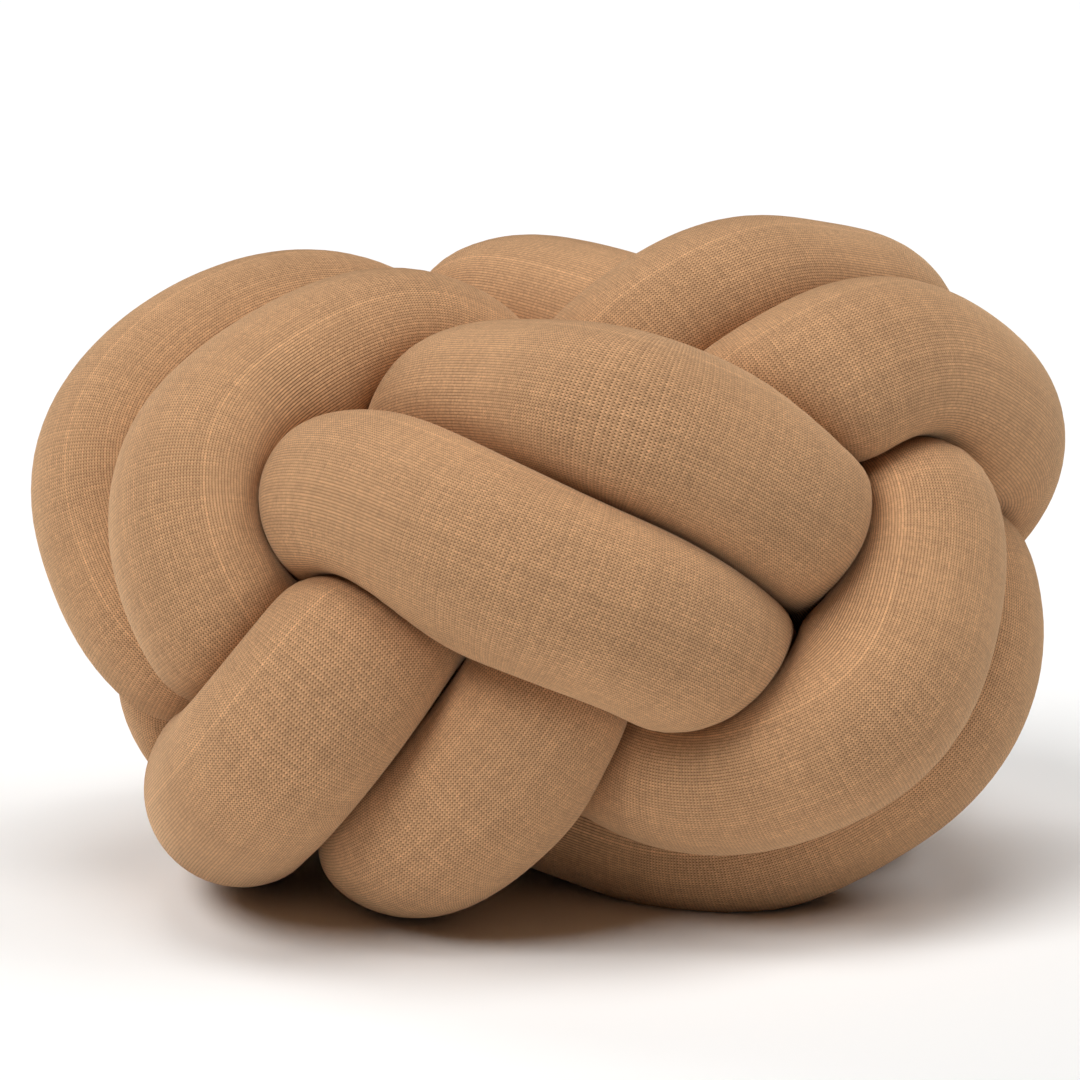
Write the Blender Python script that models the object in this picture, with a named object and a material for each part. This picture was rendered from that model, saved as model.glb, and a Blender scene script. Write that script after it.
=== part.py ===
"""Knot cushion: one long stuffed tube of knitted cloth, laid twice round a woven knot.

The knot has four lobes at the top and four at the bottom, and its strand runs over and
under in turn. A second lap lies beside the first, so every strand shows as a pair. The
middle line of the tube is laid from a table of places, the laps are eased apart and pulled
together as a tight knot is, and the round sections are then pressed flat where they meet
each other and where they stand on the ground.

Lengths are in millimetres until the solid is finished, and in metres in the file.
X is to the right, -Y to the front and +Z up.
"""

from collections import namedtuple

import bmesh
import bpy
import numpy as np
from mathutils.bvhtree import BVHTree

# --- Sizes of the tube ---------------------------------------------------------------------
TUBE_DIAMETER = 102.0  # where nothing presses on it
TUBE_RADIUS = TUBE_DIAMETER / 2
MOST_FILL = 1.11  # a section that is pressed in at one side swells at the others, up to this share
RINGS = 368  # sections along the tube
SIDES = 16  # corners round a section
SAMPLES_A_RING = 3  # points of the middle line that press on others, for each section

# --- The route -----------------------------------------------------------------------------
# A row is a place where the strand crosses another or turns back over the top or bottom.
# azimuth: degrees round the knot from the front, growing to the right
# reach, height: millimetres out from the upright axis and up from the ground
# lean: degrees that the outer face of the pair of laps is turned
# spread: millimetres between the middle lines of the two laps
Place = namedtuple("Place", "name azimuth reach height lean spread")
ROUTE = (
    Place("front pair, top lobe", 320, 122, 265, 30, 90),
    Place("front pair, over", 10, 195, 261, 0, 86),
    Place("front pair, under at the right", 50, 166, 190, -6, 78),
    Place("back right pair, bottom lobe", 96, 166, 60, -24, 86),
    Place("back right pair, over", 134, 222, 150, -16, 88),
    Place("back right pair, under", 160, 100, 220, 26, 88),
    Place("left pair, top lobe", 245, 116, 310, 33, 96),
    Place("left pair, over", 280, 212, 257, 27, 92),
    Place("left pair, under at the front", 301, 166, 146, -30, 90),
    Place("right pair, bottom lobe", 12, 84, 95, 16, 92),
    Place("right pair, over", 57, 214, 116, -5, 98),
    Place("right pair, under", 78, 212, 225, 6, 92),
    Place("back pair, top lobe", 125, 116, 300, 30, 92),
    Place("back pair, over", 180, 170, 274, 4, 90),
    Place("back pair, under", 209, 122, 184, -5, 90),
    Place("low front pair, bottom lobe", 278, 128, 62, -24, 94),
    Place("low front pair, over", 328, 186, 112, -12, 92),
    Place("low front pair, under", 2, 118, 208, 34, 88),
    Place("high right pair, top lobe", 62, 142, 318, 24, 92),
    Place("high right pair, over", 98, 226, 292, 8, 92),
    Place("high right pair, under at the back", 122, 135, 172, -20, 84),
    Place("low left pair, bottom lobe", 173, 82, 84, -10, 94),
    Place("low left pair, over", 240, 180, 88, -8, 92),
    Place("low left pair, under", 264, 161, 195, 24, 88),
)
LAP_CHANGE = 14  # row where the second lap starts and both ends of the tube are tucked in
END_TRIM = 0.55  # rows that each end stops short of that place
CHANGE_LENGTH = 1.0  # rows in which the tube crosses from one lap to the other
LAID_SAMPLES = 2000
SIDE_STEP = 0.02  # rows to each side of a place that give the strand's direction there
ROUTE_POINTS = 440

# --- How tight the knot is pulled ----------------------------------------------------------
KNOT_MIDDLE = np.array([0.0, 0.0, 200.0])
KNOT_HALF = np.array([306.0, 255.0, 203.0])  # half width, depth and height of its outline
KNOT_SQUARENESS = 2.6  # 2 is an egg shape, more is fuller at the corners
PAIR_GAP = 94.0  # between the middle lines of two laps side by side
CROSS_GAP = 66.0  # between middle lines where one pair is pressed on another
NEAR_ALONG = 175.0  # along the tube, nearer points don't push each other
EASE_ROUNDS = 60
PUSH = 0.3  # shares taken in each round: of the push between strands,
STIFFNESS = 0.2  # of the bend that the stuffed tube straightens out,
HOLD = 0.3  # of the way back to the laid route,
SHRINK = 0.25  # and of the way back inside the outline
LAST_SMOOTHING = 2  # rounds that take the last small kinks out
GROUND_CLEARANCE = 45.0  # middle line above the laid route's own ground
CORE = np.array([-14.0, 10.0, 170.0])  # the turns round this point are pulled towards it
CORE_PULL = 0.09
CORE_REACH = 150.0  # the pull starts this far away
CORE_FULL = 90.0  # and is full from here in

# --- How the sections are pressed ----------------------------------------------------------
GROUND = 10.0  # height of the ground over the laid route's own, so that its turns rest flat
PRESS_GAP = 2.0  # air left between two pressed faces
PRESS_NEAR_ALONG = 150.0  # along the tube, nearer points don't press on each other
PRESS_REACH = 135.0  # points farther away than this don't either
FREE = 1000.0  # the room where nothing is in the way
PRESS_SOFTNESS = 14.0  # power of the blend between round and pressed, more is a sharper edge
INNER_BEND = 0.9  # share of the bend radius that the inner side may reach
LEAST_RADIUS = 6.0
BEND_EVENING = 3  # rounds of evening out the bends, the swelling and the pressed corners
FILL_EVENING = 30
PRESS_EVENING = 2
FILL_ROUNDS = 5
END_ROUNDING = TUBE_RADIUS  # length over which an end closes to its gathered tip
END_TIP = 0.15  # radius of the gathered tip as a share of the tube's
CLEAR_ROUNDS = 20  # times that corners of faces still cutting through others are drawn in
CLEAR_STEP = 0.96  # and their reach each time, as a share of the last
CAP_CORNERS = 2 * SIDES

MM = 0.001
TINY = 1e-3  # keeps a division clear of zero
CAMEL = (0.53, 0.30, 0.16, 1.0)


def clear_scene():
    for thing in list(bpy.data.objects):
        bpy.data.objects.remove(thing)


def unit(vectors):
    return vectors / np.linalg.norm(vectors, axis=-1, keepdims=True)


def between(before, start, end, after, f):
    """The smooth curve from start to end, heading as its neighbours ask."""
    return 0.5 * (
        2 * start
        + (end - before) * f
        + (2 * before - 5 * start + 4 * end - after) * f**2
        + (3 * start - before - 3 * end + after) * f**3
    )


def closed_curve(rows, places):
    """The smooth closed curve through the rows, at these places counted in rows."""
    first = np.floor(places).astype(int)
    four = (rows[(first + step) % len(rows)] for step in (-1, 0, 1, 2))
    return between(*four, (places - first)[:, None])


def evenly(points, count):
    """The same line with this many points at even steps along it."""
    steps = np.linalg.norm(np.diff(points, axis=0), axis=1)
    along = np.concatenate([[0.0], np.cumsum(steps)])
    wanted = np.linspace(0.0, along[-1], count)
    return np.stack([np.interp(wanted, along, points[:, axis]) for axis in range(3)], 1)


def refined(points, count):
    """A smooth line through the points, at even steps."""
    last = len(points) - 1
    places = np.linspace(0, last, 4 * count)
    first = np.minimum(places.astype(int), last - 1)
    four = (points[np.clip(first + step, 0, last)] for step in (-1, 0, 1, 2))
    return evenly(between(*four, (places - first)[:, None]), count)


def laid_route():
    """The middle line of the tube as laid by hand: two laps of the route, side by side."""
    angle = np.radians([place.azimuth for place in ROUTE])
    reach = np.array([place.reach for place in ROUTE], float)
    height = np.array([place.height for place in ROUTE], float)
    middles = np.stack([reach * np.sin(angle), -reach * np.cos(angle), height], 1)
    pairs = np.array([(place.lean, place.spread) for place in ROUTE], float)

    lap = len(ROUTE)
    laid = np.linspace(END_TRIM, 2 * lap - END_TRIM, LAID_SAMPLES)
    places = laid + LAP_CHANGE
    middle = closed_curve(middles, places)
    lean, spread = closed_curve(pairs, places).T
    lean = np.radians(lean)[:, None]

    after, before = (closed_curve(middles, places + way * SIDE_STEP) for way in (1, -1))
    ahead = unit(after - before)
    outward = unit((middle - KNOT_MIDDLE) / KNOT_HALF)
    right = unit(np.cross(ahead, outward))
    across = right * np.cos(lean) + np.cross(right, ahead) * np.sin(lean)

    crossed = np.clip((laid - lap) / CHANGE_LENGTH + 0.5, 0, 1)
    side = 1 - 2 * (crossed**2 * (3 - 2 * crossed))
    return evenly(middle + across * (side * spread / 2)[:, None], ROUTE_POINTS)


def bent(line):
    """How far each point lies from the middle of its two neighbours."""
    out = np.zeros_like(line)
    out[1:-1] = 0.5 * (line[:-2] + line[2:]) - line[1:-1]
    return out


def eased(laid):
    """The laid line with its laps pushed apart, smoothed and pulled into a tight knot."""
    line = laid.copy()
    count = len(line)
    step = np.linalg.norm(np.diff(line, axis=0), axis=1).mean()
    near = int(NEAR_ALONG / step)
    index = np.arange(count)
    apart = np.abs(index[:, None] - index[None])
    beside = np.abs(apart - count / 2) <= near
    wanted = np.where(beside, PAIR_GAP, CROSS_GAP) * (apart > near)
    reach = KNOT_HALF - TUBE_RADIUS
    for _ in range(EASE_ROUNDS):
        squares = (line**2).sum(1)
        between = np.sqrt(
            np.maximum(squares[:, None] + squares[None] - 2 * line @ line.T, TINY)
        )
        push = np.maximum(wanted - between, 0) / between
        moved = line * push.sum(1)[:, None] - push @ line
        moved *= PUSH / np.sqrt(np.maximum((push > 0).sum(1), 1))[:, None]
        line = line + moved - STIFFNESS * bent(bent(line)) + HOLD * (laid - line)

        # The points slide along the line until they are evenly spaced again.
        ahead = np.zeros_like(line)
        ahead[1:-1] = unit(line[2:] - line[:-2])
        line += 0.5 * ahead * (bent(line) * ahead).sum(1)[:, None]

        # The hidden turns are drawn in to the middle, so that little room is left there.
        place = line - CORE
        away = np.linalg.norm(place, axis=1)
        pull = np.clip((CORE_REACH - away) / (CORE_REACH - CORE_FULL), 0, 1)
        line -= CORE_PULL * place * pull[:, None]

        # What stands out of the knot's outline is drawn back in.
        place = line - KNOT_MIDDLE
        outside = (np.abs(place / reach) ** KNOT_SQUARENESS).sum(1) ** (1 / KNOT_SQUARENESS)
        excess = np.maximum(1 - 1 / np.maximum(outside, TINY), 0)
        line -= SHRINK * place * excess[:, None]
        line[:, 2] = np.maximum(line[:, 2], GROUND_CLEARANCE)
    for _ in range(LAST_SMOOTHING):
        line += 0.5 * bent(line)
    return line


def end_shares(count, step):
    """The radius of each section as a share of the tube's, less at the rounded ends."""
    along = np.arange(count) * step
    from_end = np.minimum(along, along[::-1]) / END_ROUNDING
    share = np.sqrt(np.maximum(1 - (1 - np.clip(from_end, 0, 1)) ** 2, 0))
    return np.maximum(share, END_TIP)


def round_tube(name, line, shares):
    """An evenly round tube with closed ends, and its corners as rings (section, side)."""
    curve = bpy.data.curves.new(name, "CURVE")
    curve.dimensions = "3D"
    curve.twist_mode = "MINIMUM"
    curve.bevel_depth = TUBE_RADIUS
    curve.bevel_resolution = SIDES // 2 - 2
    curve.use_fill_caps = True
    spline = curve.splines.new("POLY")
    spline.points.add(len(line) - 1)
    for point, place, share in zip(spline.points, line, shares):
        point.co = (*place, 1.0)
        point.radius = share
    guide = bpy.data.objects.new(name + "_line", curve)
    bpy.context.scene.collection.objects.link(guide)
    graph = bpy.context.evaluated_depsgraph_get()
    mesh = bpy.data.meshes.new_from_object(guide.evaluated_get(graph))
    mesh.name = name
    bpy.data.objects.remove(guide)
    return mesh


def corners_of(mesh):
    places = np.empty(len(mesh.vertices) * 3, np.float32)
    mesh.vertices.foreach_get("co", places)
    return places.reshape(-1, 3).astype(float)


def bend_of(line, step):
    """The curvature of the line at each point, as a vector to the inner side of the bend."""
    ahead = unit(np.gradient(line, axis=0))
    bend = np.gradient(ahead, step, axis=0)
    for _ in range(BEND_EVENING):
        bend = evened_along(bend)
    return bend


def room(line, directions, step):
    """How far each section may reach in each direction before it meets a neighbour.

    Two neighbours meet halfway between their middle lines, and the inner side of a bend
    stays short of the bend's own centre.
    """
    samples = refined(line, len(line) * SAMPLES_A_RING)
    along = np.arange(len(samples)) * step * (len(line) - 1) / (len(samples) - 1)
    bend = bend_of(line, step)
    limit = np.empty(directions.shape[:2])
    for ring, middle in enumerate(line):
        other = samples[np.abs(along - ring * step) > PRESS_NEAR_ALONG] - middle
        square = (other**2).sum(1)
        close = square < PRESS_REACH**2
        toward = np.maximum(directions[ring] @ other[close].T, TINY)
        halfway = (square[close] / (2 * toward)).min(1, initial=FREE)
        inner = INNER_BEND / np.maximum(directions[ring] @ bend[ring], 1 / FREE)
        limit[ring] = np.minimum(halfway - PRESS_GAP / 2, inner)
    return np.maximum(limit, LEAST_RADIUS)


def around(directions, reach):
    """The length of cloth round each section."""
    outline = directions * reach[:, :, None]
    return np.linalg.norm(outline - np.roll(outline, 1, axis=1), axis=2).sum(1)[:, None]


def blended(radius, limit):
    """The radius where there is room for it, and the limit where there isn't."""
    power = -PRESS_SOFTNESS
    return (radius**power + limit**power) ** (1 / power)


def evened_along(values):
    """The values with each one drawn halfway to the mean of its two neighbours."""
    out = values.copy()
    out[1:-1] = 0.5 * values[1:-1] + 0.25 * (values[:-2] + values[2:])
    return out


def pressed(line, rings, shares):
    """The rings of the round tube, pressed in where they meet their neighbours.

    The cloth round a section keeps its length, so what is pressed in on one side swells
    out on the sides that are free.
    """
    step = np.linalg.norm(np.diff(line, axis=0), axis=1).mean()
    directions = unit(rings - line[:, None])
    limit = room(line, directions, step)
    cloth = around(directions, np.full_like(limit, TUBE_RADIUS))
    fill = np.ones((len(line), 1))
    for _ in range(FILL_ROUNDS):
        fill *= cloth / around(directions, blended(TUBE_RADIUS * fill, limit))
        fill = np.clip(fill, 1, MOST_FILL)
        for _ in range(FILL_EVENING):
            fill = evened_along(fill)

    reach = blended(TUBE_RADIUS * fill, limit)
    for _ in range(PRESS_EVENING):
        evened = 0.5 * reach + 0.25 * (np.roll(reach, 1, 1) + np.roll(reach, -1, 1))
        reach = np.minimum(evened_along(evened), limit)
    return np.minimum(reach, TUBE_RADIUS * fill * shares[:, None]), directions


def touching(corners, faces):
    """The corners of all faces that cut through a face they have no corner in common with."""
    tree = BVHTree.FromPolygons(corners.tolist(), faces)
    found = set()
    for a, b in tree.overlap(tree):
        if not set(faces[a]) & set(faces[b]):
            found.update(faces[a])
    return sorted(found)


def centred(corners):
    """The corners moved so that the ground's origin is under the middle of their box."""
    low, high = corners.min(0), corners.max(0)
    return corners - [(low[0] + high[0]) / 2, (low[1] + high[1]) / 2, low[2]]


def knotted_tube(name):
    """The cushion's solid: a round tube along the eased route, pressed against itself."""
    line = refined(eased(laid_route()), RINGS)
    step = np.linalg.norm(np.diff(line, axis=0), axis=1).mean()
    shares = end_shares(RINGS, step)
    mesh = round_tube(name, line, shares)

    # The mesh lists the corners of both caps first, then the sections in order. A cap's
    # corner lies on a corner of the end section and goes where that one goes.
    corners = corners_of(mesh)
    tube = np.arange(CAP_CORNERS, len(corners))
    ends = np.concatenate([tube[:SIDES], tube[-SIDES:]])
    gaps = np.linalg.norm(corners[:CAP_CORNERS, None] - corners[ends][None], axis=2)
    follows = np.concatenate([ends[gaps.argmin(1)], tube])

    rings = corners[tube].reshape(RINGS, SIDES, 3)
    reach, directions = pressed(line, rings, shares)
    middles = np.repeat(line, SIDES, axis=0)
    outward = directions.reshape(-1, 3)
    reach = reach.reshape(-1, 1)

    faces = [tuple(follows[list(face.vertices)]) for face in mesh.polygons]
    for _ in range(CLEAR_ROUNDS):
        placed = middles + outward * reach
        placed[:, 2] = np.maximum(placed[:, 2], GROUND)
        corners[tube] = placed
        crossed = touching(corners, faces)
        if not crossed:
            break
        reach[np.array(crossed) - CAP_CORNERS] *= CLEAR_STEP
    print(f"{name}: {len(crossed)} corners still touch after pressing")

    corners = centred(corners[follows]) * MM
    mesh.vertices.foreach_set("co", corners.astype(np.float32).ravel())
    shell = bmesh.new()
    shell.from_mesh(mesh)
    bmesh.ops.remove_doubles(shell, verts=shell.verts, dist=0.01 * MM)
    bmesh.ops.recalc_face_normals(shell, faces=shell.faces)
    shell.to_mesh(mesh)
    shell.free()
    for face in mesh.polygons:
        face.use_smooth = True
    return bpy.data.objects.new(name, mesh)


def knitted_cloth():
    material = bpy.data.materials.new("camel_knitted_cloth")
    material.use_nodes = True
    shader = material.node_tree.nodes["Principled BSDF"]
    shader.inputs["Base Color"].default_value = CAMEL
    shader.inputs["Roughness"].default_value = 0.9
    return material


def main():
    clear_scene()
    cushion = knotted_tube("knotted_tube")
    cushion.data.materials.clear()
    cushion.data.materials.append(knitted_cloth())
    collection = bpy.data.collections.new("knot_cushion")
    bpy.context.scene.collection.children.link(collection)
    collection.objects.link(cushion)


main()
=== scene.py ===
# %% [markdown]
# # A knot cushion, dressed
#
# The cushion is one long tube of fine knitted jersey, stuffed until it is firm, and woven
# into a round knot. It is laid twice along the same route, so every strand shows as a pair,
# and both ends are tucked inside.
#
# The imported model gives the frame: its origin, its size and the box that the knot fills.
# Everything here is in metres once it is in the scene, and the route is in millimetres, as
# a maker would note it.

from collections import namedtuple

import bmesh
import bpy
import numpy as np
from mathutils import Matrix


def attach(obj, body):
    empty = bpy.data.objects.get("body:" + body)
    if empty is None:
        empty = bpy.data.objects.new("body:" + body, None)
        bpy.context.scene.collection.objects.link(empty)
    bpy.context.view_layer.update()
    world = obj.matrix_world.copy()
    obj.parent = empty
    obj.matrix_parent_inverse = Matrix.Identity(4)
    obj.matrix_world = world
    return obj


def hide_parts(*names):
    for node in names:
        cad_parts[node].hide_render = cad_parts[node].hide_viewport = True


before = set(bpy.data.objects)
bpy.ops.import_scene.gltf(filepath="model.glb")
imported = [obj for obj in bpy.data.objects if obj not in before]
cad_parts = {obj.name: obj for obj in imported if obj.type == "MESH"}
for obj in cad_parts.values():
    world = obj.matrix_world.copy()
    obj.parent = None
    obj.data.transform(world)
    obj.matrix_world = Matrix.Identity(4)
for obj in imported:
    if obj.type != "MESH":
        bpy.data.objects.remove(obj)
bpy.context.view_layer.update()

# %% [markdown]
# ## The sizes of the tube
#
# The stuffed tube is about 102 mm thick where nothing presses on it, and nearly 8 m long. A
# smooth outline needs a corner every few millimetres, so the tube gets many more sections
# than the plain solid has, and more corners round each section.

# %% Sizes
MM = 0.001
TUBE_DIAMETER = 102.0  # where nothing presses on it
TUBE_RADIUS = TUBE_DIAMETER / 2
RINGS = 1400  # sections along the tube
SIDES = 68  # corners round a section, the most that a curve gives

# %% [markdown]
# ## The route of the knot
#
# A woven knot can be drawn as a table of places. At each place the strand crosses over
# another, passes under one, or turns back over a lobe at the top or the bottom. Azimuth is
# measured round the knot from the front, reach outwards from its upright axis, and height
# from the ground. Lean turns a pair of strands, and spread is the distance between the
# middles of the two. The same table made the solid, so the cloth lies where the solid is.

# %% The route's table
Place = namedtuple("Place", "name azimuth reach height lean spread")
ROUTE = (
    Place("front pair, top lobe", 320, 122, 265, 30, 90),
    Place("front pair, over", 10, 195, 261, 0, 86),
    Place("front pair, under at the right", 50, 166, 190, -6, 78),
    Place("back right pair, bottom lobe", 96, 166, 60, -24, 86),
    Place("back right pair, over", 134, 222, 150, -16, 88),
    Place("back right pair, under", 160, 100, 220, 26, 88),
    Place("left pair, top lobe", 245, 116, 310, 33, 96),
    Place("left pair, over", 280, 212, 257, 27, 92),
    Place("left pair, under at the front", 301, 166, 146, -30, 90),
    Place("right pair, bottom lobe", 12, 84, 95, 16, 92),
    Place("right pair, over", 57, 214, 116, -5, 98),
    Place("right pair, under", 78, 212, 225, 6, 92),
    Place("back pair, top lobe", 125, 116, 300, 30, 92),
    Place("back pair, over", 180, 170, 274, 4, 90),
    Place("back pair, under", 209, 122, 184, -5, 90),
    Place("low front pair, bottom lobe", 278, 128, 62, -24, 94),
    Place("low front pair, over", 328, 186, 112, -12, 92),
    Place("low front pair, under", 2, 118, 208, 34, 88),
    Place("high right pair, top lobe", 62, 142, 318, 24, 92),
    Place("high right pair, over", 98, 226, 292, 8, 92),
    Place("high right pair, under at the back", 122, 135, 172, -20, 84),
    Place("low left pair, bottom lobe", 173, 82, 84, -10, 94),
    Place("low left pair, over", 240, 180, 88, -8, 92),
    Place("low left pair, under", 264, 161, 195, 24, 88),
)
LAP_CHANGE = 14  # row where the second lap starts and both ends of the tube are tucked in
END_TRIM = 0.55  # rows that each end stops short of that place
CHANGE_LENGTH = 1.0  # rows in which the tube crosses from one lap to the other
LAID_SAMPLES = 2000
SIDE_STEP = 0.02  # rows to each side of a place that give the strand's direction there
ROUTE_POINTS = 440
KNOT_MIDDLE = np.array([0.0, 0.0, 200.0])
KNOT_HALF = np.array([306.0, 255.0, 203.0])  # half width, depth and height of its outline
TINY = 1e-3  # keeps a division clear of zero
print("the route has", len(ROUTE), "places, and the tube goes round it twice")

# %% [markdown]
# A smooth curve through the places gives the middle of each pair. The tube itself runs to
# the right of that middle on its first lap and to the left on its second.


# %% Lay the tube along the route
def unit(vectors):
    """Vectors of the same directions, each 1 long."""
    return vectors / np.linalg.norm(vectors, axis=-1, keepdims=True)


def between(before, start, end, after, f):
    """The smooth curve from start to end, heading as its neighbours ask."""
    return 0.5 * (
        2 * start
        + (end - before) * f
        + (2 * before - 5 * start + 4 * end - after) * f**2
        + (3 * start - before - 3 * end + after) * f**3
    )


def closed_curve(rows, places):
    """The smooth closed curve through the rows, at these places counted in rows."""
    first = np.floor(places).astype(int)
    four = (rows[(first + step) % len(rows)] for step in (-1, 0, 1, 2))
    return between(*four, (places - first)[:, None])


def evenly(points, count):
    """The same line with this many points at even steps along it."""
    steps = np.linalg.norm(np.diff(points, axis=0), axis=1)
    along = np.concatenate([[0.0], np.cumsum(steps)])
    wanted = np.linspace(0.0, along[-1], count)
    return np.stack([np.interp(wanted, along, points[:, axis]) for axis in range(3)], 1)


def refined(points, count):
    """A smooth line through the points, at even steps."""
    last = len(points) - 1
    places = np.linspace(0, last, 4 * count)
    first = np.minimum(places.astype(int), last - 1)
    four = (points[np.clip(first + step, 0, last)] for step in (-1, 0, 1, 2))
    return evenly(between(*four, (places - first)[:, None]), count)


def laid_route():
    """The middle line of the tube as laid by hand: two laps of the route, side by side."""
    angle = np.radians([place.azimuth for place in ROUTE])
    reach = np.array([place.reach for place in ROUTE], float)
    height = np.array([place.height for place in ROUTE], float)
    middles = np.stack([reach * np.sin(angle), -reach * np.cos(angle), height], 1)
    pairs = np.array([(place.lean, place.spread) for place in ROUTE], float)

    lap = len(ROUTE)
    laid = np.linspace(END_TRIM, 2 * lap - END_TRIM, LAID_SAMPLES)
    places = laid + LAP_CHANGE
    middle = closed_curve(middles, places)
    lean, spread = closed_curve(pairs, places).T
    lean = np.radians(lean)[:, None]

    after, before = (closed_curve(middles, places + way * SIDE_STEP) for way in (1, -1))
    ahead = unit(after - before)
    outward = unit((middle - KNOT_MIDDLE) / KNOT_HALF)
    right = unit(np.cross(ahead, outward))
    across = right * np.cos(lean) + np.cross(right, ahead) * np.sin(lean)

    crossed = np.clip((laid - lap) / CHANGE_LENGTH + 0.5, 0, 1)
    side = 1 - 2 * (crossed**2 * (3 - 2 * crossed))
    return evenly(middle + across * (side * spread / 2)[:, None], ROUTE_POINTS)


laid = laid_route()
print("laid", round(np.linalg.norm(np.diff(laid, axis=0), axis=1).sum()), "mm of tube")

# %% [markdown]
# ## Pull the knot tight
#
# A laid tube still overlaps itself. On the real cushion the strands push each other aside,
# the stuffing resists sharp bends, and the knot as a whole keeps its rounded outline. A few
# dozen small rounds of those three wishes settle the line, in much less time than a full
# simulation of 8 m of tube would take, and with the same result on each run.

# %% Ease the strands apart
KNOT_SQUARENESS = 2.6  # 2 is an egg shape, more is fuller at the corners
PAIR_GAP = 94.0  # between the middle lines of two laps side by side
CROSS_GAP = 66.0  # between middle lines where one pair is pressed on another
NEAR_ALONG = 175.0  # along the tube, nearer points don't push each other
EASE_ROUNDS = 60
PUSH = 0.3  # shares taken in each round: of the push between strands,
STIFFNESS = 0.2  # of the bend that the stuffed tube straightens out,
HOLD = 0.3  # of the way back to the laid route,
SHRINK = 0.25  # and of the way back inside the outline
SLIDE = 0.5  # of the way along the line back to even steps
LAST_SMOOTHING = 2  # rounds that take the last small kinks out
SMOOTHING = 0.5  # share of each kink that such a round takes out
GROUND_CLEARANCE = 45.0  # middle line above the laid route's own ground
CORE = np.array([-14.0, 10.0, 170.0])  # the turns round this point are pulled towards it
CORE_PULL = 0.09
CORE_REACH = 150.0  # the pull starts this far away
CORE_FULL = 90.0  # and is full from here in


def bent(line):
    """How far each point lies from the middle of its two neighbours."""
    out = np.zeros_like(line)
    out[1:-1] = 0.5 * (line[:-2] + line[2:]) - line[1:-1]
    return out


def eased(laid):
    """The laid line with its laps pushed apart, smoothed and pulled into a tight knot."""
    line = laid.copy()
    count = len(line)
    step = np.linalg.norm(np.diff(line, axis=0), axis=1).mean()
    near = int(NEAR_ALONG / step)
    index = np.arange(count)
    apart = np.abs(index[:, None] - index[None])
    beside = np.abs(apart - count / 2) <= near
    wanted = np.where(beside, PAIR_GAP, CROSS_GAP) * (apart > near)
    reach = KNOT_HALF - TUBE_RADIUS
    for _ in range(EASE_ROUNDS):
        squares = (line**2).sum(1)
        gaps = np.sqrt(np.maximum(squares[:, None] + squares[None] - 2 * line @ line.T, TINY))
        push = np.maximum(wanted - gaps, 0) / gaps
        moved = line * push.sum(1)[:, None] - push @ line
        moved *= PUSH / np.sqrt(np.maximum((push > 0).sum(1), 1))[:, None]
        line = line + moved - STIFFNESS * bent(bent(line)) + HOLD * (laid - line)

        # The points slide along the line until they are evenly spaced again.
        ahead = np.zeros_like(line)
        ahead[1:-1] = unit(line[2:] - line[:-2])
        line += SLIDE * ahead * (bent(line) * ahead).sum(1)[:, None]

        # The hidden turns are drawn in to the middle, so that little room is left there.
        place = line - CORE
        away = np.linalg.norm(place, axis=1)
        pull = np.clip((CORE_REACH - away) / (CORE_REACH - CORE_FULL), 0, 1)
        line -= CORE_PULL * place * pull[:, None]

        # What stands out of the knot's outline is drawn back in.
        place = line - KNOT_MIDDLE
        outside = (np.abs(place / reach) ** KNOT_SQUARENESS).sum(1) ** (1 / KNOT_SQUARENESS)
        excess = np.maximum(1 - 1 / np.maximum(outside, TINY), 0)
        line -= SHRINK * place * excess[:, None]
        line[:, 2] = np.maximum(line[:, 2], GROUND_CLEARANCE)
    for _ in range(LAST_SMOOTHING):
        line += SMOOTHING * bent(line)
    return line


line = refined(eased(laid), RINGS)
step = np.linalg.norm(np.diff(line, axis=0), axis=1).mean()
print("tube of", round(step * (RINGS - 1)), "mm with a section every", round(step, 1), "mm")

# %% [markdown]
# ## Make the round tube
#
# A curve with a bevel is Blender's own stuffed tube: it keeps its sections square to the
# line and turns them as little as it can, so the knitted ribs run straight along it. The
# two ends close to a gathered tip. The curve becomes a mesh before it is pressed.

# %% The round tube
END_ROUNDING = TUBE_RADIUS  # length over which an end closes to its gathered tip
END_TIP = 0.15  # radius of the gathered tip as a share of the tube's
CAP_CORNERS = 2 * SIDES  # the two end faces have corners of their own, which come first


def end_shares():
    """The radius of each section as a share of the tube's, less at the rounded ends."""
    along = np.arange(RINGS) * step
    from_end = np.minimum(along, along[::-1]) / END_ROUNDING
    share = np.sqrt(np.maximum(1 - (1 - np.clip(from_end, 0, 1)) ** 2, 0))
    return np.maximum(share, END_TIP)


def corners_of(mesh):
    """The place of each corner of the mesh, a row each."""
    places = np.empty(len(mesh.vertices) * 3, np.float32)
    mesh.vertices.foreach_get("co", places)
    return places.reshape(-1, 3).astype(float)


def round_tube(name, shares):
    """An evenly round tube with closed ends along the line."""
    curve = bpy.data.curves.new(name, "CURVE")
    curve.dimensions = "3D"
    curve.twist_mode = "MINIMUM"
    curve.bevel_depth = TUBE_RADIUS
    curve.bevel_resolution = SIDES // 2 - 2
    curve.use_fill_caps = True
    spline = curve.splines.new("POLY")
    spline.points.add(len(line) - 1)
    for point, place, share in zip(spline.points, line, shares):
        point.co = (*place, 1.0)
        point.radius = share
    guide = bpy.data.objects.new(name + "_line", curve)
    bpy.context.scene.collection.objects.link(guide)
    graph = bpy.context.evaluated_depsgraph_get()
    mesh = bpy.data.meshes.new_from_object(guide.evaluated_get(graph))
    mesh.name = name
    bpy.data.objects.remove(guide)
    bpy.data.curves.remove(curve)
    return mesh


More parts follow.
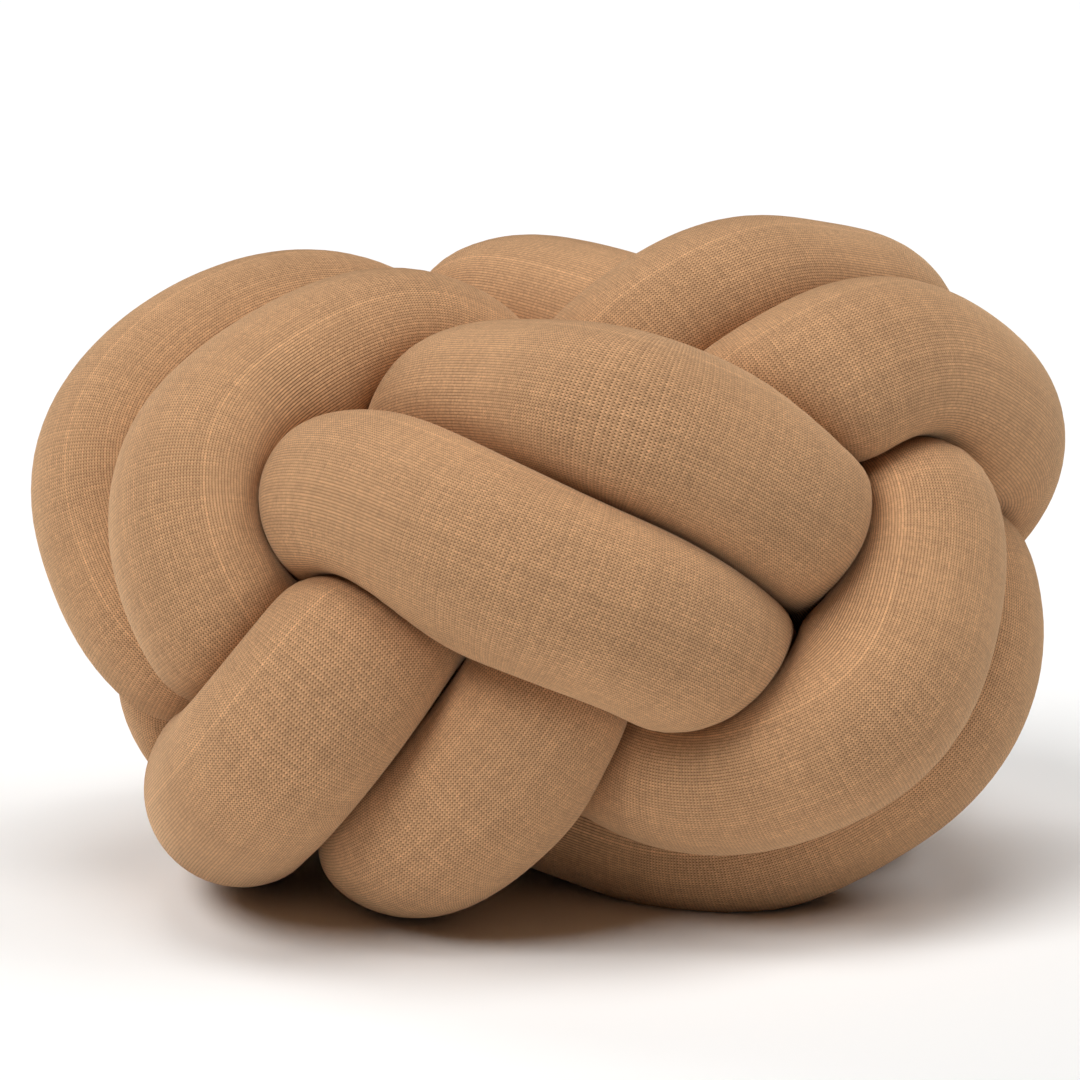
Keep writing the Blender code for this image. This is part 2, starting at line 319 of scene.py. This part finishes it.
shares = end_shares()
tube = round_tube("knitted_tube", shares)
corners = corners_of(tube)
rings = corners[CAP_CORNERS:].reshape(RINGS, SIDES, 3)
print("round tube:", len(tube.vertices), "corners,", len(tube.polygons), "faces")

# %% [markdown]
# ## Press the strands against each other
#
# Where two soft tubes meet they flatten against one another, halfway between their middle
# lines. So each corner is drawn in until it is no farther from its own middle line than
# from any other. The cloth round a section keeps its length, so what is pressed in on one
# side bulges out on the others. The inner side of a bend bunches up and stays short of the
# bend's centre, and the turns that the knot stands on are flat underneath. A slow swell
# along the tube stands for stuffing that is never quite even.

# %% Sizes of the pressing
GROUND = 10.0  # height of the ground over the laid route's own, so that its turns rest flat
PRESS_GAP = 1.0  # air left between two pressed faces
PRESS_NEAR_ALONG = 150.0  # along the tube, nearer points don't press on each other
PRESS_REACH = 135.0  # points farther away than this don't either
FREE = 1000.0  # the room where nothing is in the way
PRESS_SOFTNESS = 14.0  # power of the blend between round and pressed, more is a sharper edge
INNER_BEND = 0.9  # share of the bend radius that the inner side may reach
LEAST_RADIUS = 6.0
MOST_FILL = 1.11  # the most that a section, pressed in on one side, swells on the others
FILL_ROUNDS = 5  # in which the swelling settles
FILL_EVENING = 400  # rounds that even out the swelling along the tube,
BEND_EVENING = 12  # its bends,
PRESS_EVENING = 4  # and its pressed corners
SWELL = 0.006  # share of the radius by which each of two slow waves swells the tube
SWELL_LENGTH = 190.0  # along the tube for one radian of the longer wave
SWELL_SHORTER = 1.7  # times that the other wave is shorter
SWELL_SHIFT = 1.0  # radians that it is ahead
print("faces are pressed to within", PRESS_GAP, "mm, and the tube swells up to", MOST_FILL, "times")


# %% How much room each section has
def evened_along(values):
    """The values with each one drawn halfway to the mean of its two neighbours."""
    out = values.copy()
    out[1:-1] = 0.5 * values[1:-1] + 0.25 * (values[:-2] + values[2:])
    return out


def bend_of():
    """The curvature of the line at each point, as a vector to the inner side of the bend."""
    ahead = unit(np.gradient(line, axis=0))
    bend = np.gradient(ahead, step, axis=0)
    for _ in range(BEND_EVENING):
        bend = evened_along(bend)
    return bend


def room(directions):
    """How far each section may reach in each direction before it meets a neighbour."""
    along = np.arange(RINGS) * step
    bend = bend_of()
    limit = np.empty(directions.shape[:2])
    for ring, middle in enumerate(line):
        other = line[np.abs(along - along[ring]) > PRESS_NEAR_ALONG] - middle
        square = (other**2).sum(1)
        close = square < PRESS_REACH**2
        toward = np.maximum(directions[ring] @ other[close].T, TINY)
        halfway = (square[close] / (2 * toward)).min(1, initial=FREE)
        inner = INNER_BEND / np.maximum(directions[ring] @ bend[ring], 1 / FREE)
        limit[ring] = np.minimum(halfway - PRESS_GAP / 2, inner)
    return np.maximum(limit, LEAST_RADIUS)


directions = unit(rings - line[:, None])
limit = room(directions)
print("room round the sections:", limit.min().round(), "mm at the least")


# %% Press the sections
def around(directions, reach):
    """The length of cloth round each section."""
    outline = directions * reach[:, :, None]
    return np.linalg.norm(outline - np.roll(outline, 1, axis=1), axis=2).sum(1)[:, None]


def blended(radius, limit):
    """The radius where there is room for it, and the limit where there isn't."""
    power = -PRESS_SOFTNESS
    return (radius**power + limit**power) ** (1 / power)


def pressed(directions, limit):
    """How far each corner of the tube lies from the middle line once it is pressed."""
    wave = np.arange(RINGS) * step / SWELL_LENGTH
    swell = np.sin(wave) + np.sin(wave * SWELL_SHORTER + SWELL_SHIFT)
    full = TUBE_RADIUS * (1 + SWELL * swell)[:, None]
    cloth = around(directions, full * np.ones_like(limit))
    fill = np.ones((RINGS, 1))
    for _ in range(FILL_ROUNDS):
        fill *= cloth / around(directions, blended(full * fill, limit))
        fill = np.clip(fill, 1, MOST_FILL)
        for _ in range(FILL_EVENING):
            fill = evened_along(fill)

    full = full * fill
    reach = blended(full, limit)
    for _ in range(PRESS_EVENING):
        evened = 0.5 * reach + 0.25 * (np.roll(reach, 1, 1) + np.roll(reach, -1, 1))
        reach = np.minimum(evened_along(evened), limit)
    return np.minimum(reach, full * shares[:, None])


reach = pressed(directions, limit)
rings = line[:, None] + directions * reach[:, :, None]
rings[:, :, 2] = np.maximum(rings[:, :, 2], GROUND)
low, high = rings.min((0, 1)), rings.max((0, 1))
to_frame = -np.array([(low[0] + high[0]) / 2, (low[1] + high[1]) / 2, GROUND])
print("pressed size in mm:", (high - low).round(1), "least radius:", reach.min().round(1))

# %% [markdown]
# ## Give the cloth its stitches' own map
#
# Jersey is knitted as columns of loops, the wales, which run along the tube, and rows of
# loops, the courses, which run round it. A UV map that counts them lets the material place
# every stitch, and lets the stitches crowd on the inner side of a bend and open on the
# outer side as real ones do. One more value at each corner says how stretched the cloth is.

# %% Place the pressed corners
def placed():
    """The place of every corner of the mesh, in metres in the frame."""
    ends = np.concatenate([np.arange(SIDES), np.arange(SIDES) + (RINGS - 1) * SIDES]) + CAP_CORNERS
    gaps = np.linalg.norm(corners[:CAP_CORNERS, None] - corners[ends][None], axis=2)
    pressed_corners = np.concatenate([corners[:CAP_CORNERS], rings.reshape(-1, 3)])
    pressed_corners[:CAP_CORNERS] = pressed_corners[ends[gaps.argmin(1)]]
    return (pressed_corners + to_frame) * MM


def stretched():
    """How long the cloth is along the tube at each corner, as a share of its rest length."""
    share = np.linalg.norm(np.gradient(rings, axis=0), axis=2) / step
    return np.concatenate([np.ones(CAP_CORNERS), share.ravel()])


tube.vertices.foreach_set("co", placed().astype(np.float32).ravel())
stretch = stretched()
attribute = tube.attributes.new("stretch", "FLOAT", "POINT")
attribute.data.foreach_set("value", stretch.astype(np.float32))
print("length of the cloth against rest:", stretch.min().round(2), "to", stretch.max().round(2))

# %% Map the stitches
WALE_WIDTH = 1.6  # mm; real ones are about 1.5 mm, drawn a touch coarser so that they show
COURSE_HEIGHT = 1.25
WALES = round(np.pi * TUBE_DIAMETER / WALE_WIDTH)


def read(items, field):
    """One whole number of each of the mesh's items, as an array."""
    numbers = np.empty(len(items), np.int32)
    items.foreach_get(field, numbers)
    return numbers


def map_stitches(mesh):
    """A UV map that counts wales round the tube and courses along it."""
    vertex = read(mesh.loops, "vertex_index")
    face_size = read(mesh.polygons, "loop_total")
    ring, side = np.divmod(vertex - CAP_CORNERS, SIDES)

    # The face that closes the round starts at the last side and ends at a whole turn.
    face = np.repeat(np.arange(len(face_size)), face_size)
    last_side = np.zeros(len(face_size), side.dtype)
    np.maximum.at(last_side, face, side)
    side = np.where((last_side[face] == SIDES - 1) & (side == 0), SIDES, side)

    counts = np.stack([side / SIDES * WALES, ring * step / COURSE_HEIGHT], 1)
    counts[vertex < CAP_CORNERS] = 0
    while mesh.uv_layers:
        mesh.uv_layers.remove(mesh.uv_layers[0])
    layer = mesh.uv_layers.new(name="stitches")
    layer.data.foreach_set("uv", counts.astype(np.float32).ravel())


map_stitches(tube)
print("wales:", WALES, "courses:", round((RINGS - 1) * step / COURSE_HEIGHT))

# %% [markdown]
# ## Close the ends
#
# A curve's end caps are loose faces with corners of their own. Joining the corners that lie
# on each other closes the shell, and then every face is turned outwards. Smooth shading
# hides the edges between the small flat faces.

# %% Close the ends
WELD = 0.01  # mm


def finished(name):
    """The tube with its ends joined on, its faces outwards, as an object."""
    shell = bmesh.new()
    shell.from_mesh(tube)
    bmesh.ops.remove_doubles(shell, verts=shell.verts, dist=WELD * MM)
    bmesh.ops.recalc_face_normals(shell, faces=shell.faces)
    shell.to_mesh(tube)
    shell.free()
    tube.shade_smooth()
    thing = bpy.data.objects.new(name, tube)
    bpy.context.scene.collection.objects.link(thing)
    return thing


cushion = finished("knitted_tube_cover")
print("the cover has", len(tube.vertices), "corners and", len(tube.polygons), "faces")

# %% [markdown]
# ## Knitted jersey
#
# The cloth is a fine single jersey of matt yarn in a warm camel. Up close it shows columns
# of small V-shaped loops with tiny dark openings between them. From a step away that
# becomes a fine grain: ribs along the tube where it bends inwards, rows round it where it
# is stretched, and here and there a paler wale that a needle of the machine left. Stray
# fibres catch the light at the edge, which the sheen stands for. The colours are sRGB
# values, turned to linear by one function.


# %% A node helper and colours
def linear(hex_colour):
    """sRGB hex to the linear colour that a shader takes."""
    channels = [int(hex_colour[i : i + 2], 16) / 255 for i in (1, 3, 5)]
    return [c / 12.92 if c <= 0.04045 else ((c + 0.055) / 1.055) ** 2.4 for c in channels] + [1.0]


def add(tree, kind, inputs=(), **settings):
    """A node of this kind with its settings, and its inputs set or linked in order or by name."""
    node = tree.nodes.new("ShaderNode" + kind)
    for name, value in settings.items():
        setattr(node, name, value)
    items = inputs.items() if isinstance(inputs, dict) else enumerate(inputs)
    for key, value in items:
        if isinstance(value, bpy.types.Node):
            value = value.outputs[0]
        if isinstance(value, bpy.types.NodeSocket):
            tree.links.new(value, node.inputs[key])
        else:
            node.inputs[key].default_value = value
    return node


# %% [markdown]
# ### The loops
#
# The UV map counts stitches, so the fraction of each count says where in a stitch a point
# lies. Two lines fade out from there: the furrow between two wales, and the gap between two
# courses, which slants up to the middle of the wale on both sides and so draws the V. Where
# the two cross is the small opening that a loop leaves.

# %% Sizes of the loops
LOOP_SLANT = 1.3  # courses that a loop's legs rise for each wale that they cross
LINE_FADE = {"From Max": 0.25, "To Min": 1.0, "To Max": 0.0}  # over a quarter of a stitch
RIBS_BY_STRETCH = {"From Min": 0.5, "From Max": 1.1, "To Min": 1.0, "To Max": 0.35}
ROWS_BY_STRETCH = {"From Min": 0.7, "From Max": 1.5, "To Min": 0.15, "To Max": 0.6}
OPENING_SHARE = 0.7  # how much deeper the opening is where a furrow and a gap cross
HALF_STITCH = 0.5


def loops(tree, wale, course):
    """How deep a point lies in the knit, 0 on the yarn and 1 or more in a furrow or opening."""
    across = add(tree, "Math", [wale, HALF_STITCH], operation="PINGPONG")
    slanted = add(tree, "Math", [across, LOOP_SLANT, course], operation="MULTIPLY_ADD")
    along = add(tree, "Math", [slanted, HALF_STITCH], operation="PINGPONG")
    furrow = add(tree, "MapRange", {"Value": across, **LINE_FADE}, interpolation_type="SMOOTHSTEP")
    gap = add(tree, "MapRange", {"Value": along, **LINE_FADE}, interpolation_type="SMOOTHSTEP")
    opening = add(tree, "Math", [furrow, gap], operation="MULTIPLY")

    # Crowded cloth shows its furrows, and stretched cloth its rows and openings, in painted shade.
    stretch = add(tree, "Attribute", attribute_name="stretch").outputs["Fac"]
    rib_share = add(tree, "MapRange", {"Value": stretch, **RIBS_BY_STRETCH})
    row_share = add(tree, "MapRange", {"Value": stretch, **ROWS_BY_STRETCH})
    ribs = add(tree, "Math", [furrow, rib_share], operation="MULTIPLY")
    rows = add(tree, "Math", [gap, row_share], operation="MULTIPLY")
    lines = add(tree, "Math", [ribs, rows], operation="ADD")
    return add(tree, "Math", [opening, OPENING_SHARE, lines], operation="MULTIPLY_ADD")


print("a loop is", WALE_WIDTH, "mm wide and", COURSE_HEIGHT, "mm high")

# %% [markdown]
# ### The yarn
#
# Yarn is never quite even: wales, courses and single loops are lighter or darker, a few
# wales are paler all along, the whole cloth is softly blotched, and fibres fleck it. White
# noise on the whole number of a wale, course or stitch gives each its own tone.

# %% Sizes of the unevenness
BLOTCHES = 22.0  # in a metre of cloth
FLECKS = 700.0  # in a metre of cloth; real fibres are far finer, and this is the finest that shows
PALE_WALE = {"From Min": 0.975, "From Max": 0.98, "To Min": 1.0, "To Max": 1.16}
WALE_SHARE = 0.12  # how much lighter or darker the yarn gets from wale to wale,
COURSE_SHARE = 0.10  # from course to course,
STITCH_SHARE = 0.20  # from loop to loop,
BLOTCH_SHARE = 0.16  # in soft blotches,
FLECK_SHARE = 0.55  # and in flecks


def uneven_yarn(tree, wale, course, place, fleck):
    """The tone of the yarn at a point, around 1."""
    wale_number = add(tree, "Math", [wale], operation="FLOOR")
    course_number = add(tree, "Math", [course], operation="FLOOR")
    stitch = add(tree, "CombineXYZ", [wale_number, course_number])
    wale_tone = add(tree, "TexWhiteNoise", {"W": wale_number}, noise_dimensions="1D")
    course_tone = add(tree, "TexWhiteNoise", {"W": course_number}, noise_dimensions="1D")
    stitch_tone = add(tree, "TexWhiteNoise", {"Vector": stitch}, noise_dimensions="2D")
    blotch = add(tree, "TexNoise", {"Vector": place, "Scale": BLOTCHES, "Detail": 3.0})
    shares = (
        (wale_tone, WALE_SHARE),
        (course_tone, COURSE_SHARE),
        (stitch_tone, STITCH_SHARE),
        (blotch, BLOTCH_SHARE),
        (fleck, FLECK_SHARE),
    )
    tone = add(tree, "MapRange", {"Value": wale_tone, **PALE_WALE})
    for part, share in shares:
        factor = add(tree, "Math", [part, share, 1 - share / 2], operation="MULTIPLY_ADD")
        tone = add(tree, "Math", [tone, factor], operation="MULTIPLY")
    return tone


print("in a metre of cloth there are", FLECKS, "flecks and", BLOTCHES, "blotches")

# %% [markdown]
# ### The finish
#
# Matt yarn is a rough surface with little gloss. The sheen is the light that stray fibres
# catch where the cloth turns away from the eye, a touch paler than the yarn. The bump sinks
# the furrows and raises the fibres.

# %% The jersey
YARN = "#D5A579"
YARN_DEEP = "#452712"  # inside the loops, where little light comes
FUZZ = "#F0CBA3"
LOOP_DEPTH = 0.4  # mm
FUZZ_HEIGHT = 0.5  # of the fibres against the loops


def jersey(name):
    """Fine matt single jersey, knitted, with ribs and loops that follow the map."""
    material = bpy.data.materials.new(name)
    material.use_nodes = True
    tree = material.node_tree
    shader = tree.nodes["Principled BSDF"]

    stitches = add(tree, "UVMap", uv_map="stitches")
    counts = add(tree, "SeparateXYZ", [stitches])
    wale, course = counts.outputs["X"], counts.outputs["Y"]
    place = add(tree, "TexCoord").outputs["Object"]
    fleck = add(tree, "TexNoise", {"Vector": place, "Scale": FLECKS, "Detail": 2.0})
    depth = loops(tree, wale, course)
    tone = uneven_yarn(tree, wale, course, place, fleck)

    shade = add(tree, "Math", [depth, 1.0], operation="MULTIPLY", use_clamp=True)
    yarn = add(tree, "Mix", {0: shade, 6: linear(YARN), 7: linear(YARN_DEEP)}, data_type="RGBA")
    colour = add(tree, "VectorMath", {0: yarn.outputs[2], "Scale": tone}, operation="SCALE")
    tree.links.new(colour.outputs[0], shader.inputs["Base Color"])

    raised = add(tree, "Math", [1.0, depth], operation="SUBTRACT")
    raised = add(tree, "Math", [fleck, FUZZ_HEIGHT, raised], operation="MULTIPLY_ADD")
    bump = add(tree, "Bump", {"Strength": 0.6, "Distance": LOOP_DEPTH * MM, "Height": raised})
    tree.links.new(bump.outputs[0], shader.inputs["Normal"])

    shader.inputs["Roughness"].default_value = 0.95
    shader.inputs["Specular IOR Level"].default_value = 0.2
    shader.inputs["Sheen Weight"].default_value = 0.85
    shader.inputs["Sheen Roughness"].default_value = 0.35
    shader.inputs["Sheen Tint"].default_value = linear(FUZZ)
    return material


cushion.data.materials.clear()
cushion.data.materials.append(jersey("camel_single_jersey"))
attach(cushion, "root")
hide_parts("knotted_tube")
print("dressed in", cushion.data.materials[0].name)

# %% [markdown]
# ## A plain place to stand it
#
# A large pale floor and four soft lights show the round of the strands and leave the
# creases between them dark. A sun with a wide disc is the simplest soft light: it has the
# softness of a large softbox and lights the whole floor evenly, so no edge of it turns
# grey. The key comes from the upper left, and a lower one from behind catches the stray
# fibres. The Standard view shows the sRGB colours as they were chosen.

# %% Floor
FLOOR_HALF = 9.0  # metres


def floor():
    """A square of floor with its paint."""
    shell = bmesh.new()
    bmesh.ops.create_grid(shell, x_segments=1, y_segments=1, size=FLOOR_HALF)
    mesh = bpy.data.meshes.new("floor")
    shell.to_mesh(mesh)
    shell.free()
    thing = bpy.data.objects.new("floor", mesh)
    bpy.context.scene.collection.objects.link(thing)
    paint = bpy.data.materials.new("matt_white_paint")
    paint.use_nodes = True
    shader = paint.node_tree.nodes["Principled BSDF"]
    shader.inputs["Base Color"].default_value = linear("#FAFAF9")
    shader.inputs["Roughness"].default_value = 0.9
    shader.inputs["Specular IOR Level"].default_value = 0.1
    mesh.materials.append(paint)
    return thing


floor()
print("floor laid")


# %% Directions
def direction_to_turn(away):
    """The turn that makes a light or camera look back along this direction."""
    flat = np.hypot(away[0], away[1])
    return (np.arctan2(flat, away[2]), 0.0, np.arctan2(away[0], -away[1]))


def from_angles(azimuth, elevation):
    """The direction at this azimuth, from the front to the right, and elevation."""
    turn, lift = np.radians(azimuth), np.radians(elevation)
    return np.array([np.sin(turn) * np.cos(lift), -np.cos(turn) * np.cos(lift), np.sin(lift)])


print("straight in front of the cushion is", from_angles(0, 0).round(2))

# %% Light
SOFT_DISC = 30.0  # degrees across, as a large softbox looks from a few metres away
ROOM_LIGHT = 0.03  # what little comes from all round
Lamp = namedtuple("Lamp", "name azimuth elevation strength")
LAMPS = (
    Lamp("key_light", -45, 50, 1.60),
    Lamp("top_light", 15, 82, 1.07),
    Lamp("back_light", -135, 30, 0.89),
    Lamp("side_light", 90, 50, 0.87),
)


def soft_light(lamp):
    """A sun whose wide disc makes its shadows soft."""
    light = bpy.data.lights.new(lamp.name, "SUN")
    light.energy = lamp.strength
    light.angle = np.radians(SOFT_DISC)
    thing = bpy.data.objects.new(lamp.name, light)
    thing.rotation_euler = direction_to_turn(from_angles(lamp.azimuth, lamp.elevation))
    bpy.context.scene.collection.objects.link(thing)
    return thing


for lamp in LAMPS:
    soft_light(lamp)
world = bpy.data.worlds.new("studio")
world.use_nodes = True
background = world.node_tree.nodes["Background"]
background.inputs["Color"].default_value = linear("#FFFFFF")
background.inputs["Strength"].default_value = ROOM_LIGHT
bpy.context.scene.world = world
bpy.context.scene.view_settings.view_transform = "Standard"

# %% [markdown]
# ## The camera
#
# The camera stands 2.6 m in front and looks down at 12 degrees. From there the front pairs
# show their tops and hide most of the turns that the knot stands on. A long lens keeps the
# far strands nearly as large as the near ones.

# %% Camera
CAMERA_DISTANCE = 2.6  # metres
CAMERA_ELEVATION = 12.0  # degrees
FRAME_WIDTH = 0.631  # metres across the picture at the cushion's middle
SENSOR = 36.0  # mm
PICTURE_SIDE = 1080  # pixels
AIM = np.array([0.0, 0.0, 195.0])  # on the route, in mm
AIM_BELOW_MIDDLE = 17  # pixels of the picture


def camera():
    """The camera in front, with the cushion's middle a little below the picture's."""
    data = bpy.data.cameras.new("camera")
    data.sensor_width = SENSOR
    data.lens = SENSOR * CAMERA_DISTANCE / FRAME_WIDTH
    data.shift_y = AIM_BELOW_MIDDLE / PICTURE_SIDE
    thing = bpy.data.objects.new("camera", data)
    away = from_angles(0, CAMERA_ELEVATION)
    thing.location = (AIM + to_frame) * MM + CAMERA_DISTANCE * away
    thing.rotation_euler = direction_to_turn(away)
    bpy.context.scene.collection.objects.link(thing)
    bpy.context.scene.camera = thing
    return thing


print("lens:", round(camera().data.lens, 1), "mm")
